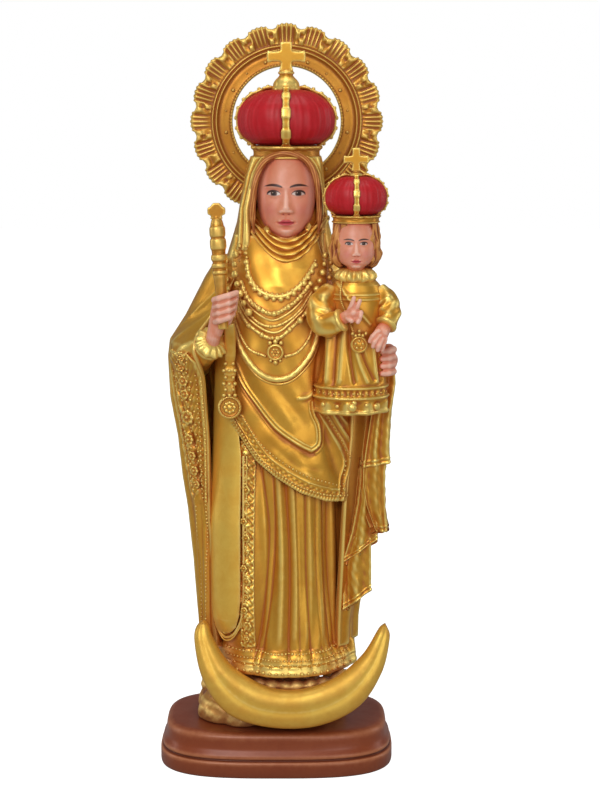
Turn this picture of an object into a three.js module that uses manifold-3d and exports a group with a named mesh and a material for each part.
// A crowned madonna holding the child, as a cast devotional statue on a two-step oval plinth.
// Millimetres, +Z up, -Y is the front, +X is the figure's left. The origin is the middle of the underside.
// The castings are glued on pegs, dowels and screws, and every seam keeps the same clearance.

import * as THREE from "three";
import { mergeVertices } from "three/addons/utils/BufferGeometryUtils.js";
import Module from "manifold-3d";

const wasm = await Module();
wasm.setup();

// ---------- driving dimensions ----------
const CLEAR = 0.3; // gap at every seam

const PLINTH_W = 98;
const PLINTH_D = 62;
const FOOT_H = 8.5; // lower step of the plinth
const TOP_H = 10; // upper step of the plinth
const STEP_IN = 2.4; // how far the upper step stands back
const PAD_T = 1.2; // felt pad
const PAD_PROUD = 0.5; // how far the felt stands below the plinth
const PAD_MARGIN = 4;

const SCREW_R = 1.5;
const SCREW_HEAD_R = 3;
const SCREW_HEAD_H = 2;
const SCREW_SPREAD = 34; // between the two plinth screws
const SCREW_BITE = 9; // length in the mound

const MOUND_W = 63;
const MOUND_D = 42;
const MOUND_H = 24;
const MOUND_PEG_H = 7; // peg into the gown
const MOUND_PEG_R = 8;
const FIGURE_X = 4.5; // the figure stands a little to its left on the plinth

const GOWN_H = 172; // hem to shoulders
const GOWN_HEM_W = 56;
const GOWN_HEM_D = 44;
const TUNIC_T = 1.8;
const MANTLE_REACH = 44; // half width of the mantle at the elbows
const MANTLE_D = 38;
const MANTLE_HEM_UP = 20; // mantle hem above the gown hem
const BORDER_T = 1.4;

const FACE_W = 22.6;
const HEAD_D = 27;
const HEAD_H = 31; // chin to crown band
const NECK_R = 5.5;
const CROWN_PEG_R = 4;
const CROWN_PEG_H = 9;
const VEIL_W = 36;

const BAND_W = 27.6; // crown band
const BAND_H = 5.2;
const CAP_W = 40;
const CAP_D = 32;
const CAP_H = 20;
const ARCH_W = 4;
const ARCH_T = 1.3;
const ORB_R = 5.6;
const ORB_H = 7;
const CROSS_H = 11;
const CROSS_W = 15;
const CROSS_T = 2.6;

const HALO_R = 38.7;
const HALO_RIM_R = 29.2; // raised rim between the flat band and the rays
const RIM_W = 2.4;
const HALO_HOLE_R = 22.1;
const HALO_T = 4;
const HALO_RAYS = 20;
const HALO_SCALLOP = 1; // how far the valleys between rays stand in
const HALO_SCREW_R = 1.4;

const MOON_R = 40.3; // outer arc
const MOON_INNER_R = 42.9;
const MOON_FAT = 16.6; // radial thickness at the middle
const MOON_T = 10;
const MOON_DOWEL_R = 2;

const SCEPTRE_R = 2.2; // in the fist
const SCEPTRE_KNOB_R = 3.3;
const SCEPTRE_L = 52;
const HAND_W = 12;
const MEDAL_R = 4.6;

const CHILD_GOWN_H = 56;
const CHILD_HEM_W = 30;
const CHILD_HEAD_W = 15.6;
const CHILD_HEAD_H = 17.5; // chin to crown band
const CHILD_CAP_W = 24.8;
const CHILD_CAP_H = 13.6;
const CHILD_X = 32;
const CHILD_Y = -20;
const CHILD_UP = 0.64; // child's hem, as a share of the gown's height
const CHILD_DOWEL_R = 1.8;

// ---------- heights that stack up ----------
const padTop = PAD_T;
const plinthTop = PAD_PROUD + FOOT_H + TOP_H - 0.5;
const moundBase = plinthTop + CLEAR;
const moundTop = plinthTop + MOUND_H;
const hemZ = moundTop + CLEAR - 1;
const shoulderZ = hemZ + GOWN_H;
const chinZ = shoulderZ + 7;
const bandZ = chinZ + HEAD_H;
const capZ = bandZ + BAND_H + CLEAR;
const orbZ = capZ + CAP_H + ARCH_T + 2 * CLEAR;
const crossZ = orbZ + ORB_H + CLEAR;
const haloZ = bandZ + BAND_H + CAP_H * 0.46;
const haloY = CAP_D / 2 + 1.4;
const childHemZ = hemZ + GOWN_H * CHILD_UP;
const childChinZ = childHemZ + CHILD_GOWN_H + 2;
const childBandZ = childChinZ + CHILD_HEAD_H;
const childCapZ = childBandZ + 3 + CLEAR;
const childCrossZ = childCapZ + CHILD_CAP_H + 3.4;
const moonZ = plinthTop + MOON_R + 1.8; // centre of the outer arc
const moonY = 0.9 - GOWN_HEM_D / 2 - MOON_T / 2;
const fistZ = hemZ + GOWN_H * 0.87;

// ---------- shaping tools ----------
const V = (x, y, z) => new THREE.Vector3(x, y, z);

// A closed three.js geometry as a solid that can be cut and joined.
function solid(geometry) {
  const bare = geometry.clone();
  bare.deleteAttribute("normal");
  bare.deleteAttribute("uv");
  const merged = mergeVertices(bare, 1e-4);
  return new wasm.Manifold(
    new wasm.Mesh({
      numProp: 3,
      vertProperties: new Float32Array(merged.attributes.position.array),
      triVerts: new Uint32Array(merged.index.array),
    }),
  );
}

// A skin through rings. Each ring is { c: centre, u, v: half axes }, and power squares its outline.
function skin(rings, { sides = 32, power = 1, grow = 0 } = {}) {
  const g = new THREE.CylinderGeometry(1, 1, 1, sides, rings.length - 1);
  const p = g.attributes.position;
  const squared = (t) => Math.sign(t) * Math.abs(t) ** power;
  const last = rings.length - 1;
  for (let i = 0; i < p.count; i++) {
    const at = Math.round((0.5 - p.getY(i)) * last);
    const { c, u, v } = rings[at];
    const out = c
      .clone()
      .addScaledVector(u, squared(p.getX(i)) * (1 + grow / u.length()))
      .addScaledVector(v, squared(p.getZ(i)) * (1 + grow / v.length()));
    if (grow && (at === 0 || at === last)) {
      const inner = rings[at === 0 ? 1 : last - 1].c;
      out.add(c.clone().sub(inner).setLength(grow));
    }
    p.setXYZ(i, out.x, out.y, out.z);
  }
  const made = solid(g);
  if (made.volume() >= 0) return made;
  g.index.array.reverse();
  return solid(g);
}

// An upright form from rows of [z, middle x, middle y, half width, half depth].
const upright = (rows, options) =>
  skin(
    rows.map(([z, x, y, a, b]) => ({ c: V(x, y, z), u: V(a, 0, 0), v: V(0, b, 0) })),
    options,
  );

// A round rod through points, with a radius at each.
function rod(points, radii, { sides = 12, grow = 0, flat = 1 } = {}) {
  const rings = points.map((c, i) => {
    const along = points[Math.min(i + 1, points.length - 1)]
      .clone()
      .sub(points[Math.max(i - 1, 0)])
      .normalize();
    const side = Math.abs(along.x) > 0.9 ? V(0, 0, 1) : V(1, 0, 0);
    const u = side.addScaledVector(along, -side.dot(along)).setLength(radii[i]);
    const v = u.clone().cross(along).multiplyScalar(flat);
    return { c, u, v };
  });
  return skin(rings, { sides, grow });
}

// An ellipsoid, closed at both poles by small caps.
function egg(c, a, b, h, { grow = 0, sides = 12, rows = 5 } = {}) {
  const rings = [];
  for (let i = 0; i <= rows; i++) {
    const t = Math.PI * (0.06 + (0.88 * i) / rows);
    rings.push([c.z - h * Math.cos(t), c.x, c.y, a * Math.sin(t), b * Math.sin(t)]);
  }
  return upright(rings, { sides, grow });
}

const block = (low, high) =>
  solid(
    new THREE.BoxGeometry(...high.clone().sub(low).toArray()).translate(
      ...high.clone().add(low).multiplyScalar(0.5).toArray(),
    ),
  );

// A flat outline in the XZ plane, with its thickness from y to y + depth.
function plate(shape, y, depth) {
  const g = new THREE.ExtrudeGeometry(shape, { depth, bevelEnabled: false });
  g.rotateX(Math.PI / 2).translate(0, y + depth, 0);
  return solid(g);
}

// A shape through points, each moved out from the middle by grow.
function outline(points, grow = 0) {
  const mid = [0, 1].map((k) => points.reduce((sum, q) => sum + q[k], 0) / points.length);
  const moved = points.map((q) => q.map((w, k) => w + grow * Math.sign(w - mid[k])));
  return new THREE.Shape(moved.map(([x, z]) => new THREE.Vector2(x, z)));
}

function crossPlate(x, y, z, width, height, thick) {
  const bar = width / 5.5;
  const arm = z + height * 0.52;
  const half = bar / 2;
  const right = [
    [half * 1.7, z],
    [half, z + bar],
    [half, arm - half],
    [width / 2, arm - half * 1.4],
    [width / 2, arm + half * 1.4],
    [half, arm + half],
    [half * 1.4, z + height],
  ];
  const left = right.map(([w, h]) => [-w, h]).reverse();
  const around = [...right, ...left].map(([w, h]) => [x + w, h]);
  return plate(outline(around), y - thick / 2, thick);
}

// ---------- forms shared by pieces that fit each other ----------
// Rows of the gown, from the hem at 0 to the shoulders at 1: [share of height, half width, half depth].
const gownRows = [
  [0, GOWN_HEM_W / 2, GOWN_HEM_D / 2],
  [0.06, GOWN_HEM_W / 2 - 0.6, GOWN_HEM_D / 2 - 0.8],
  [0.4, 25.5, 16.5],
  [0.63, 24, 16],
  [0.83, 22, 15.5],
  [0.94, 19.5, 13.5],
  [1, 12, 9.5],
];
const gownY = -2;
const gownForm = (rows, out) =>
  rows.map(([h, a, b]) => [hemZ + GOWN_H * h, FIGURE_X, gownY, a + out, b + out]);

// The front of the gown at a place, moved out by a margin.
function frontY(x, z, out) {
  const h = THREE.MathUtils.clamp((z - hemZ) / GOWN_H, 0, 1);
  const i = Math.max(1, gownRows.findIndex((r) => r[0] >= h));
  const [low, high] = [gownRows[i - 1], gownRows[i]];
  const t = (h - low[0]) / (high[0] - low[0]);
  const a = THREE.MathUtils.lerp(low[1], high[1], t) + out;
  const b = THREE.MathUtils.lerp(low[2], high[2], t) + out;
  const w = Math.min(0.96, Math.abs(x - FIGURE_X) / a);
  return gownY - b * Math.sqrt(1 - w * w);
}

// Cloth or braid lying on the front of the gown, inside an outline of [x, share of gown height].
const overGown = (thick, points) => (grow) => {
  const around = points.map(([x, h]) => [x, hemZ + GOWN_H * h]);
  return upright(gownForm(gownRows, thick + CLEAR + grow), { sides: 28 }).intersect(
    plate(outline(around, grow), -60, 60 + gownY - 3 + grow),
  );
};

// A chain that hangs on the chest between two shoulders, lowest at its middle.
function chain(halfWidth, topZ, drop, radius) {
  const points = [];
  const steps = 14;
  for (let i = 0; i <= steps; i++) {
    const s = (i / steps) * 2 - 1;
    const x = FIGURE_X + halfWidth * Math.sin((s * Math.PI) / 2);
    const z = topZ - drop * (1 - s * s);
    points.push(V(x, frontY(x, z, TUNIC_T + radius + CLEAR + 0.5), z));
  }
  return (grow) => rod(points, points.map(() => radius), { sides: 6, grow });
}

// A puffed crown cap: rows from its foot at z to its top.
const capForm = (x, y, z, width, depth, height, footWidth) => (grow) =>
  upright(
    [
      [0, footWidth / 2],
      [0.12, width * 0.43],
      [0.28, width * 0.49],
      [0.45, width * 0.5],
      [0.65, width * 0.47],
      [0.82, width * 0.38],
      [0.94, width * 0.25],
      [1, width * 0.12],
    ].map(([h, a]) => [z + height * h, x, y, a, (a * depth) / width]),
    { sides: 20, grow },
  );

const crownY = -1.5;
const cap = capForm(FIGURE_X, crownY, capZ, CAP_W, CAP_D, CAP_H, BAND_W);
const childCrownY = CHILD_Y - 0.5;
const childDepthShare = 0.86;
const childCap = capForm(
  CHILD_X,
  childCrownY,
  childCapZ,
  CHILD_CAP_W,
  CHILD_CAP_W * childDepthShare,
  CHILD_CAP_H,
  CHILD_HEAD_W + 2.6,
);

// Two crossing straps over a cap, front to back and side to side.
function arches(capMaker, x, y, z, width, height, strap, thick) {
  const over = capMaker(thick + CLEAR);
  const reach = width;
  const top = z + height + reach;
  const sideways = block(V(x - reach, y - strap / 2, z), V(x + reach, y + strap / 2, top));
  const lengthways = block(V(x - strap / 2, y - reach, z), V(x + strap / 2, y + reach, top));
  return over.intersect(sideways.add(lengthways));
}

// The pin under a cross, which goes into the piece below it.
const tang = (x, y, z, radius, depth, grow) =>
  rod([V(x, y, z + 0.5), V(x, y, z - depth)], [radius, radius], { sides: 10, grow });

// A turned finial: bell below, neck above.
const finial = (x, y, z, radius, height) => (grow) =>
  upright(
    [
      [0, 1],
      [0.2, 1.02],
      [0.45, 0.85],
      [0.7, 0.45],
      [0.85, 0.5],
      [1, 0.42],
    ].map(([h, r]) => [z + height * h, x, y, radius * r, radius * r]),
    { sides: 16, grow },
  );

const onHalo = (r, a) => [FIGURE_X + r * Math.cos(a), haloZ + r * Math.sin(a)];

const fist = V(-20.4, -29.5, fistZ);
const sceptreTop = V(-22.6, -27, fistZ + 39);
const sceptreFoot = sceptreTop
  .clone()
  .addScaledVector(fist.clone().sub(sceptreTop).normalize(), SCEPTRE_L);

const pieces = [];
// Adds a piece. Each is cut by those added before it, grown by the clearance, so what holds comes first.
// room is what must stay free beside the piece itself, such as the way that a screw goes in.
function piece(name, colour, finish, form, room) {
  pieces.push({ name, colour, finish, form, room });
}
const gold = [0xc8962e, { roughness: 0.38, metalness: 0.8 }];
const flesh = [0xd9948a, { roughness: 0.5, metalness: 0 }];
const red = [0xb3161c, { roughness: 0.45, metalness: 0 }];
const copper = [0x7a4028, { roughness: 0.45, metalness: 0.5 }];
const steel = [0x9a9a9c, { roughness: 0.35, metalness: 1 }];
const wood = [0xb08d5c, { roughness: 0.8, metalness: 0 }];
const felt = [0x23402c, { roughness: 1, metalness: 0 }];

// ---------- fixings ----------
const felted = (grow) =>
  upright(
    [0, padTop].map((z) => [z, 0, 0, PLINTH_W / 2 - PAD_MARGIN, PLINTH_D / 2 - PAD_MARGIN]),
    { sides: 32, power: 0.86, grow },
  );
piece("felt_pad", ...felt, felted);

for (const [name, side] of [["left", 1], ["right", -1]]) {
  const x = (side * SCREW_SPREAD) / 2;
  const headZ = padTop + CLEAR + 0.4;
  const tip = plinthTop + SCREW_BITE;
  const form = (grow) =>
    rod(
      [V(x, 0, headZ), V(x, 0, headZ + SCREW_HEAD_H)],
      [SCREW_HEAD_R, SCREW_HEAD_R],
      { grow },
    ).add(
      rod([V(x, 0, headZ + 1), V(x, 0, tip - 2), V(x, 0, tip)], [SCREW_R, SCREW_R, 0.5], { grow }),
    );
  const way = (grow) =>
    rod([V(x, 0, -1), V(x, 0, headZ + 1)], [SCREW_HEAD_R, SCREW_HEAD_R], { grow });
  piece(`plinth_screw_${name}`, ...steel, form, way);
}
const moonMiddleZ = moonZ - MOON_R + MOON_FAT / 2;
piece("moon_dowel", ...wood, (grow) =>
  rod(
    [V(FIGURE_X, moonY - 1, moonMiddleZ), V(FIGURE_X, moonY + 14, moonMiddleZ)],
    [MOON_DOWEL_R, MOON_DOWEL_R],
    { grow },
  ),
);
const childDowelZ = childHemZ + CHILD_GOWN_H * 0.5;
piece("child_dowel", ...wood, (grow) =>
  rod(
    [V(CHILD_X + 2, CHILD_Y + 3, childDowelZ), V(CHILD_X + 2, CHILD_Y + 17, childDowelZ)],
    [CHILD_DOWEL_R, CHILD_DOWEL_R],
    { grow },
  ),
);
const haloScrewZ = haloZ - (HALO_HOLE_R + HALO_RIM_R) / 2;
const haloBack = haloY + HALO_T;
piece(
  "halo_screw",
  ...steel,
  (grow) =>
    rod(
      [V(FIGURE_X, haloBack + CLEAR, haloScrewZ), V(FIGURE_X, haloBack + 2, haloScrewZ)],
      [2.6, 2.2],
      { grow },
    ).add(
      rod(
        [V(FIGURE_X, haloBack + 1, haloScrewZ), V(FIGURE_X, 3, haloScrewZ)],
        [HALO_SCREW_R, HALO_SCREW_R],
        { grow },
      ),
    ),
);

// ---------- sceptre, heads and hands ----------
piece("sceptre_cross", ...gold, (grow) => {
  const { x, y, z } = sceptreTop;
  return crossPlate(x, y, z + CLEAR, 6.8, 7, 2).add(tang(x, y, z + CLEAR, 0.7, 3, grow));
});
const sceptreAt = (t) => sceptreTop.clone().lerp(sceptreFoot, t);
piece("sceptre", ...gold, (grow) =>
  rod(
    [0, 0.05, 0.16, 0.3, 0.42, 0.56, 0.66, 1].map(sceptreAt),
    [1.6, 2.6, SCEPTRE_KNOB_R, SCEPTRE_KNOB_R, SCEPTRE_KNOB_R, 3, SCEPTRE_R, SCEPTRE_R],
    { grow },
  ),
);
piece("head", ...flesh, (grow) =>
  upright(
    [
      [chinZ - 16, FIGURE_X, 0, NECK_R, NECK_R],
      [chinZ - 4, FIGURE_X, -1, NECK_R, NECK_R],
      [chinZ, FIGURE_X, -4.5, FACE_W * 0.27, HEAD_D * 0.32],
      [chinZ + HEAD_H * 0.15, FIGURE_X, -4.2, FACE_W * 0.4, HEAD_D * 0.42],
      [chinZ + HEAD_H * 0.5, FIGURE_X, -3.5, FACE_W * 0.5, HEAD_D * 0.5],
      [chinZ + HEAD_H * 0.8, FIGURE_X, -2.8, FACE_W * 0.48, HEAD_D * 0.47],
      [bandZ - CLEAR, FIGURE_X, -2.2, FACE_W * 0.44, HEAD_D * 0.43],
    ],
    { sides: 28, grow },
  ).add(
    rod(
      [V(FIGURE_X, crownY, bandZ - 3), V(FIGURE_X, crownY, bandZ + CROWN_PEG_H)],
      [CROWN_PEG_R, CROWN_PEG_R],
      { grow },
    ),
  ),
);
piece("child_head", ...flesh, (grow) =>
  upright(
    [
      [childChinZ - 6, CHILD_X, CHILD_Y, 3.4, 3.4],
      [childChinZ - 1, CHILD_X, CHILD_Y, 3.4, 3.8],
      [childChinZ + 1, CHILD_X, CHILD_Y - 1.6, CHILD_HEAD_W * 0.3, 5.4],
      [childChinZ + CHILD_HEAD_H * 0.35, CHILD_X, CHILD_Y - 1.4, CHILD_HEAD_W * 0.47, 7.4],
      [childChinZ + CHILD_HEAD_H * 0.7, CHILD_X, CHILD_Y - 1, CHILD_HEAD_W * 0.48, 7.6],
      [childBandZ - CLEAR, CHILD_X, CHILD_Y - 0.5, CHILD_HEAD_W * 0.44, 7],
    ],
    { sides: 18, grow },
  ).add(
    rod(
      [V(CHILD_X, childCrownY, childBandZ - 2), V(CHILD_X, childCrownY, childBandZ + 6)],
      [2.6, 2.6],
      { grow },
    ),
  ),
);
piece("right_hand", ...flesh, (grow) => {
  let hand = egg(V(fist.x - 1.8, fist.y + 2.2, fist.z - 1), HAND_W / 2 - 0.6, 4.6, 9.4, { grow });
  for (let i = 0; i < 4; i++) {
    const z = fist.z + 7.4 - i * 3.4;
    const reach = HAND_W / 2 - 0.6 * i;
    hand = hand.add(
      rod(
        [V(fist.x - 4.5, fist.y - 1.5, z - 1), V(fist.x, fist.y - 4, z), V(fist.x + reach, fist.y - 2.6, z)],
        [1.7, 1.9, 1.6],
        { sides: 7, grow },
      ),
    );
  }
  return hand.add(
    rod([V(fist.x - 3, fist.y + 2, fist.z - 6), V(fist.x - 5, fist.y + 7, fist.z - 13)], [3.4, 3.2], { grow }),
  );
});
const holdZ = childHemZ + CHILD_GOWN_H * 0.36;
piece("left_hand", ...flesh, (grow) => {
  let hand = egg(V(45.6, -17.6, holdZ), 2.8, 4.4, 6.4, { grow, sides: 14 });
  for (let i = 0; i < 4; i++) {
    const z = holdZ + 4.6 - i * 2.9;
    hand = hand.add(
      rod([V(46.4, -18, z), V(46.2, -22.4, z), V(43.4, -24.4, z)], [1.5, 1.5, 1.2], { sides: 7, grow }),
    );
  }
  const wrist = rod([V(45.2, -17, holdZ), V(44.4, -11.4, holdZ)], [2.9, 2.7], { grow });
  return hand.add(wrist);
});
piece("child_right_hand", ...flesh, (grow) => {
  const at = V(CHILD_X - 1.6, CHILD_Y - 16.6, childHemZ + 40);
  return egg(at, 3.3, 2.6, 3.6, { grow, sides: 14 })
    .add(rod([at, V(at.x + 1.6, at.y - 0.6, at.z + 5.4)], [1.1, 0.9], { sides: 10, grow }))
    .add(rod([at, V(at.x - 4.5, at.y + 4, at.z - 1)], [2.3, 2.2], { sides: 12, grow }));
});
piece("child_left_hand", ...flesh, (grow) => {
  const at = V(CHILD_X + 9.6, CHILD_Y - 11, childHemZ + 30.5);
  return egg(at, 3.6, 3, 4.2, { grow, sides: 14 }).add(
    rod([at, V(at.x + 1.6, at.y + 5, at.z + 4.6)], [2.4, 2.3], { sides: 12, grow }),
  );
});

// ---------- plinth, moon and mound ----------
// The plinth's outline, with the rows of its moulded edge as [z, how far the outline stands back].
piece("plinth", ...copper, (grow) =>
  upright(
    [
      [PAD_PROUD, 0.7],
      [PAD_PROUD + 0.9, 0],
      [PAD_PROUD + FOOT_H - 2.2, 0],
      [PAD_PROUD + FOOT_H - 1, 0.9],
      [PAD_PROUD + FOOT_H - 0.5, STEP_IN],
      [plinthTop - 1, STEP_IN],
      [plinthTop - 0.3, STEP_IN + 0.4],
      [plinthTop, STEP_IN + 1.2],
    ].map(([z, back]) => [z, 0, 0, PLINTH_W / 2 - back, PLINTH_D / 2 - back]),
    { sides: 32, power: 0.86, grow },
  ),
);
// The crescent: rays from the level of its tips meet the outer and the inner arc.
const moonX = FIGURE_X + 2.2;
const moonRise = MOON_FAT - MOON_R + MOON_INNER_R; // inner arc's centre above the outer's
function crescent(grow) {
  const rings = [];
  const steps = 20;
  for (let i = 0; i <= steps; i++) {
    const a = -Math.PI / 2 + ((i / steps) * 2 - 1) * 1.5;
    const dir = V(Math.cos(a), 0, Math.sin(a));
    const from = moonRise * 0.22; // height of the tips over the outer arc's centre
    const hit = (r, up) => -dir.z * up + Math.sqrt(r * r - (1 - dir.z * dir.z) * up * up);
    const outer = hit(MOON_R, from);
    const inner = hit(MOON_INNER_R, from - moonRise);
    const fat = Math.max(0.5, (outer - inner) / 2);
    const back = 9 * (1 + dir.z); // the tips lean back round the figure
    const c = V(moonX, moonY + back, moonZ + from).addScaledVector(dir, (outer + inner) / 2);
    rings.push({ c, u: dir.clone().multiplyScalar(fat), v: V(0, (MOON_T * fat) / MOON_FAT, 0) });
  }
  return skin(rings, { sides: 12, power: 0.9, grow });
}
piece("crescent_moon", ...gold, crescent);
piece("cloud_mound", ...gold, (grow) =>
  upright(
    [
      [moundBase, -2.4, 0, MOUND_W / 2, MOUND_D / 2],
      [moundBase + MOUND_H * 0.25, -2.2, 0, MOUND_W / 2 + 0.6, MOUND_D / 2 + 0.5],
      [moundBase + MOUND_H * 0.6, 0, -0.5, MOUND_W / 2 - 3, MOUND_D / 2 - 1.6],
      [moundTop - 1, 3, -1, MOUND_W / 2 - 6, MOUND_D / 2 - 4],
    ],
    { sides: 26, grow },
  ).add(
    rod([V(FIGURE_X, 0, moundTop - 4), V(FIGURE_X, 0, moundTop + MOUND_PEG_H)], [MOUND_PEG_R, MOUND_PEG_R], {
      sides: 20,
      grow,
    }),
  ),
);

// ---------- the clothed figure ----------
piece("gown", ...gold, (grow) => upright(gownForm(gownRows, 0), { sides: 28, grow }));
// The tunic lies on the front of the gown, and its hem slants down to the figure's left.
const tunicHem = [
  [-16, 0.6],
  [4.5, 0.46],
  [24, 0.4],
  [27, 0.41],
];
const tunic = overGown(TUNIC_T, [...tunicHem, [27, 0.93], [-16, 0.93]]);
piece("tunic", ...gold, tunic);
piece("gown_hem_band", ...gold, overGown(1, [[-26, 0.01], [34, 0.01], [34, 0.065], [-26, 0.065]]));
piece("skirt_panel", ...gold, overGown(2.2, [[-23, 0.08], [-13.4, 0.1], [-13.4, 0.53], [-21, 0.53]]));
piece("skirt_braid", ...gold, overGown(1.2, [[-12.4, 0.08], [-7, 0.08], [-7, 0.48], [-12.4, 0.5]]));
piece("cowl", ...gold, (grow) =>
  upright(
    [
      [shoulderZ - 7, FIGURE_X, -3, 15.6, 14.4],
      [shoulderZ - 1, FIGURE_X, -3, 15.2, 14.2],
      [shoulderZ + 4, FIGURE_X, -2.6, 13.4, 12.6],
      [chinZ - 0.6, FIGURE_X, -2.4, 12.2, 11.4],
    ],
    { sides: 20, grow },
  ),
);
for (const [name, halfWidth, up, drop, radius] of [
  ["necklace_short", 10.5, 0.98, 14, 0.8],
  ["necklace_middle", 13.5, 0.95, 22, 0.9],
  ["necklace_beaded", 15.5, 0.93, 27, 0.8],
  ["necklace_long", 16.5, 0.92, 36, 1.1],
]) {
  piece(name, ...gold, chain(halfWidth, hemZ + GOWN_H * up, drop, radius));
}
piece("chest_pendant", ...gold, (grow) => {
  const z = hemZ + GOWN_H * 0.79;
  const y = frontY(FIGURE_X - 3.5, z, TUNIC_T) - 1.1;
  return skin(
    [y - 1.4, y].map((at) => ({
      c: V(FIGURE_X - 3.5, at, z),
      u: V(3.3, 0, 0),
      v: V(0, 0, 4.6),
    })),
    { sides: 16, grow },
  );
});
const elbow = V(-33, -3, fistZ - 24);
const cuff = V(fist.x - 4.6, fist.y + 6.4, fist.z - 11);
piece("right_sleeve", ...gold, (grow) =>
  rod([elbow, elbow.clone().lerp(cuff, 0.5), cuff], [8.6, 8, 6.2], { sides: 18, grow }),
);

const leftWrist = V(44.6, -12.5, holdZ);
piece("left_sleeve", ...gold, (grow) =>
  rod([V(31, 2, holdZ - 4), V(39.5, -5, holdZ - 1), leftWrist], [9, 7.4, 4.2], { sides: 16, grow }),
);

// ---------- the child ----------
piece("child_gown", ...gold, (grow) =>
  upright(
    [
      [0, 30.4, 0, CHILD_HEM_W / 2 - 0.6, 10.6],
      [0.07, 30.4, 0, CHILD_HEM_W / 2, 11.4],
      [0.35, 31, 0.4, 13.4, 10.6],
      [0.6, 32, 0.6, 11.8, 10],
      [0.82, 32.3, 0.6, 11.6, 9],
      [0.94, 32.2, 0.4, 8.6, 7],
      [1, 32, 0, 5, 5],
    ].map(([h, x, y, a, b]) => [childHemZ + CHILD_GOWN_H * h, x, CHILD_Y + y, a, b]),
    { sides: 28, grow },
  ),
);
for (const [name, shoulder, wrist, wide] of [
  ["right", V(-9, -1, 46), V(-6, -12.6, 38), 5.4],
  ["left", V(9.4, 0, 45), V(11.6, -6, 35), 4.3],
]) {
  const base = V(CHILD_X, CHILD_Y, childHemZ);
  const ends = [shoulder.add(base), wrist.add(base)];
  piece(`child_${name}_sleeve`, ...gold, (grow) =>
    rod([ends[0], ends[0].clone().lerp(ends[1], 0.5), ends[1]], [wide - 0.6, wide, wide], {
      sides: 16,
      grow,
    }),
  );
}
piece("child_collar", ...gold, (grow) =>
  upright(
    [
      [childChinZ - 5.4, CHILD_X, CHILD_Y - 0.6, 7.4, 6.6],
      [childChinZ - 3.6, CHILD_X, CHILD_Y - 0.8, 8, 7.2],
      [childChinZ - 1.2, CHILD_X, CHILD_Y - 0.6, 6.6, 6],
    ],
    { sides: 20, grow },
  ),
);
// The hair goes round the head and leaves the face free.
piece("child_hair", ...gold, (grow) => {
  const round = upright(
    [
      [childChinZ - 0.4, CHILD_X, CHILD_Y + 1, 7.6, 6],
      [childChinZ + 3, CHILD_X, CHILD_Y + 0.6, 9, 8],
      [childChinZ + CHILD_HEAD_H * 0.5, CHILD_X, CHILD_Y, 9.5, 8.8],
      [childBandZ - CLEAR, CHILD_X, CHILD_Y - 0.2, 8.6, 8.4],
    ],
    { sides: 20, grow },
  );
  const face = block(
    V(CHILD_X - 6.4, CHILD_Y - 20, childChinZ - 9),
    V(CHILD_X + 6.4, CHILD_Y - 3, childBandZ - 2),
  );
  return grow ? round : round.subtract(face);
});
piece("child_crown_band", ...gold, (grow) =>
  upright(
    [childBandZ, childBandZ + 1.6, childBandZ + 3].map((z, i) => [
      z,
      CHILD_X,
      childCrownY,
      CHILD_HEAD_W / 2 + 1.6 - 0.2 * i,
      (CHILD_HEAD_W / 2 + 1.6 - 0.2 * i) * childDepthShare,
    ]),
    { sides: 20, grow },
  ),
);
const childOrbZ = childCapZ + CHILD_CAP_H + 1 + 2 * CLEAR;
piece("child_crown_cross", ...gold, (grow) =>
  crossPlate(CHILD_X, childCrownY, childCrossZ, 9.6, 8.6, 1.8).add(
    tang(CHILD_X, childCrownY, childCrossZ, 0.7, childCrossZ - childOrbZ - 0.8, grow),
  ),
);
piece("child_crown_cap", ...red, childCap);
piece("child_crown_orb", ...gold, finial(CHILD_X, childCrownY, childOrbZ, 2.6, childCrossZ - childOrbZ - CLEAR));
piece("child_crown_arches", ...gold, () =>
  arches(childCap, CHILD_X, childCrownY, childCapZ, CHILD_CAP_W, CHILD_CAP_H, 2.6, 1),
);

// ---------- Mary's crown ----------
piece("crown_band", ...gold, (grow) =>
  upright(
    [
      [0, 0],
      [0.25, 0.5],
      [0.75, 0.5],
      [1, 0],
    ].map(([h, out]) => [
      bandZ + BAND_H * h,
      FIGURE_X,
      crownY,
      BAND_W / 2 - 0.5 + out,
      ((BAND_W / 2 - 0.5) * 0.94 + out),
    ]),
    { sides: 32, grow },
  ),
);
piece("crown_cross", ...gold, (grow) =>
  crossPlate(FIGURE_X, crownY, crossZ, CROSS_W, CROSS_H, CROSS_T).add(
    tang(FIGURE_X, crownY, crossZ, 1, ORB_H - 1, grow),
  ),
);
piece("crown_cap", ...red, cap);
piece("crown_orb", ...gold, finial(FIGURE_X, crownY, orbZ, ORB_R, ORB_H));
piece("crown_arches", ...gold, () =>
  arches(cap, FIGURE_X, crownY, capZ, CAP_W, CAP_H, ARCH_W, ARCH_T),
);

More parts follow.
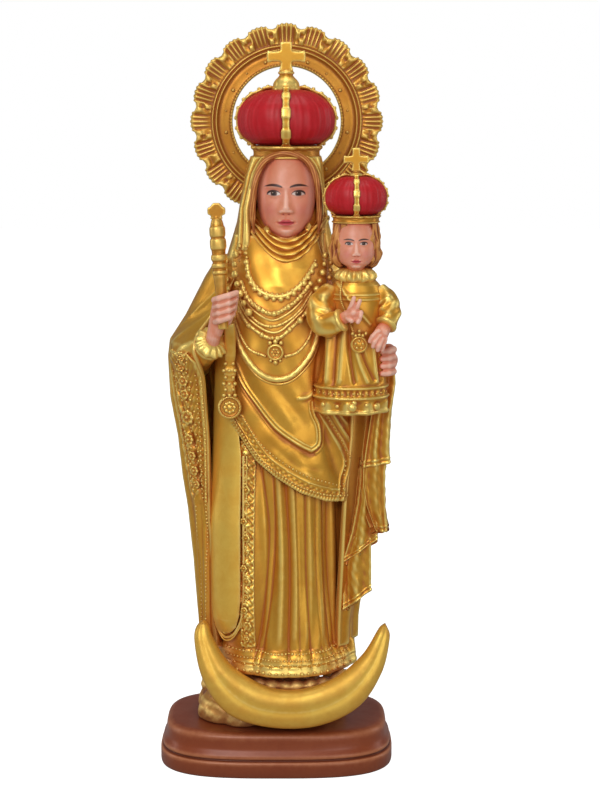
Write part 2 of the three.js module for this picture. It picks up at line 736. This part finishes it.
// ---------- veil and mantle ----------
piece("veil", ...gold, (grow) => {
  const round = upright(
    [
      [shoulderZ - 1, FIGURE_X - 1, 1, VEIL_W / 2 + 1.6, 14.2],
      [shoulderZ + 12, FIGURE_X - 0.4, 0.4, VEIL_W / 2, 15],
      [chinZ + HEAD_H * 0.55, FIGURE_X, 0, VEIL_W / 2 - 2.2, 15.2],
      [bandZ - CLEAR, FIGURE_X, -1, BAND_W / 2 + 0.2, 14.4],
    ],
    { sides: 26, grow },
  );
  const face = skin(
    [V(FIGURE_X, -40, 0), V(FIGURE_X, -4, 0)].map((c) => ({
      c: c.setZ(chinZ + HEAD_H * 0.4),
      u: V(FACE_W / 2 + 1, 0, 0),
      v: V(0, 0, HEAD_H * 0.62),
    })),
    { sides: 28 },
  );
  const below = block(V(FIGURE_X - 13, -40, shoulderZ - 20), V(FIGURE_X + 13, -4, chinZ + 8));
  return grow ? round : round.subtract(face).subtract(below);
});
// Rows of the mantle: [share of gown height, middle x, half width, half depth].
const mantleRows = [
  [0, 0.6, 32, 21.6],
  [0.14, 2.4, 34.6, 21],
  [0.28, 3.4, 37.6, 20.4],
  [0.4, 2.6, 39.6, 20],
  [0.6, 0, MANTLE_REACH - 2, MANTLE_D / 2 + 0.6],
  [0.73, -2.4, MANTLE_REACH - 2.6, MANTLE_D / 2 + 0.4],
  [0.83, -1.4, 36, 17.6],
  [0.93, 0.4, 28.4, 15.4],
  [0.97, 1.4, 24, 14],
  [1, 3, 18, 12],
];
const mantleRound = (grow) => {
  const low = hemZ + MANTLE_HEM_UP;
  const rise = GOWN_H - MANTLE_HEM_UP;
  return upright(
    mantleRows.map(([h, x, a, b]) => [low + rise * h, x, 1, a, b]),
    { sides: 26, grow },
  );
};
piece("mantle", ...gold, (grow) =>
  mantleRound(grow).subtract(
    block(V(-19 + grow, -50, 0), V(FIGURE_X + 24 - grow, -5 - grow, shoulderZ + 20)),
  ),
);
// The wide border down the mantle's front edge, at the figure's right side.
piece("mantle_border", ...gold, (grow) => {
  const around = [
    [-60, 0.16],
    [-24, 0.16],
    [-27, 0.7],
    [-60, 0.7],
  ].map(([x, h]) => [x, hemZ + GOWN_H * h]);
  return mantleRound(BORDER_T + CLEAR + grow).intersect(
    plate(outline(around, grow), -60, 56 + grow),
  );
});
// The mantle's folded edge falls in steps at the figure's left side.
piece("mantle_cascade", ...gold, (grow) => {
  const edge = [
    [27, 0.16],
    [33, 0.125],
    [40, 0.18],
    [40.6, 0.295],
    [44.6, 0.33],
    [43.4, 0.475],
    [46, 0.49],
    [46, 0.62],
    [30, 0.62],
  ].map(([x, h]) => [x, hemZ + GOWN_H * h]);
  return plate(outline(edge, grow), -17 - grow, 13 + 2 * grow);
});

// ---------- ornaments ----------
const medalAt = V(-18.2, frontY(-18.2, hemZ + 112, TUNIC_T + 3), hemZ + 112);
piece("rosary_medal", ...gold, (grow) =>
  rod(
    [V(medalAt.x, medalAt.y - 3, medalAt.z), V(medalAt.x, medalAt.y - 1, medalAt.z)],
    [MEDAL_R, MEDAL_R],
    { sides: 20, grow },
  ).add(
    rod(
      [V(medalAt.x, medalAt.y - 2, medalAt.z + 3), V(medalAt.x, medalAt.y - 2, medalAt.z + 18)],
      [1.8, 2.2],
      { sides: 10, grow, flat: 0.45 },
    ),
  ),
);
piece("child_locket", ...gold, (grow) => {
  const at = V(CHILD_X + 1.4, CHILD_Y - 11.5, childHemZ + 27.6);
  return rod([at, V(at.x, at.y + 1.4, at.z)], [3.1, 3.1], { sides: 16, grow });
});
// ---------- halo ----------
piece("halo", ...gold, () => {
  const steps = 4;
  const ring = (count, radiusAt) => {
    const points = [];
    for (let i = 0; i < count; i++) points.push(onHalo(radiusAt(i), (i / count) * Math.PI * 2));
    return points.map(([x, z]) => new THREE.Vector2(x, z));
  };
  const tips = (i) => HALO_R - HALO_SCALLOP * (1 - Math.abs(Math.sin((i * Math.PI) / steps)));
  const rays = new THREE.Shape(ring(HALO_RAYS * steps, tips));
  rays.holes.push(new THREE.Path(ring(36, () => HALO_HOLE_R)));
  const rim = new THREE.Shape(ring(36, () => HALO_RIM_R));
  rim.holes.push(new THREE.Path(ring(36, () => HALO_RIM_R - RIM_W)));
  return plate(rays, haloY + 1, HALO_T - 1).add(plate(rim, haloY, 2));
});

// ---------- fit the pieces together and name them ----------
const overlaps = (a, b) =>
  [0, 1, 2].every((k) => a.min[k] < b.max[k] && b.min[k] < a.max[k]);

const statue = new THREE.Group();
const placed = [];
for (const { name, colour, finish, form, room } of pieces) {
  let made = form(0);
  for (const cutter of placed)
    if (overlaps(made.boundingBox(), cutter.boundingBox())) made = made.subtract(cutter);
  const kept = room ? form(CLEAR).add(room(CLEAR)) : form(CLEAR);
  placed.push(kept);
  const mesh = made.getMesh();
  const geometry = new THREE.BufferGeometry()
    .setAttribute("position", new THREE.BufferAttribute(mesh.vertProperties, 3))
    .setIndex(new THREE.BufferAttribute(mesh.triVerts, 1));
  geometry.computeVertexNormals();
  const material = new THREE.MeshStandardMaterial({ color: colour, ...finish });
  const node = new THREE.Mesh(geometry, material);
  node.name = name;
  statue.add(node);
}

export default statue;
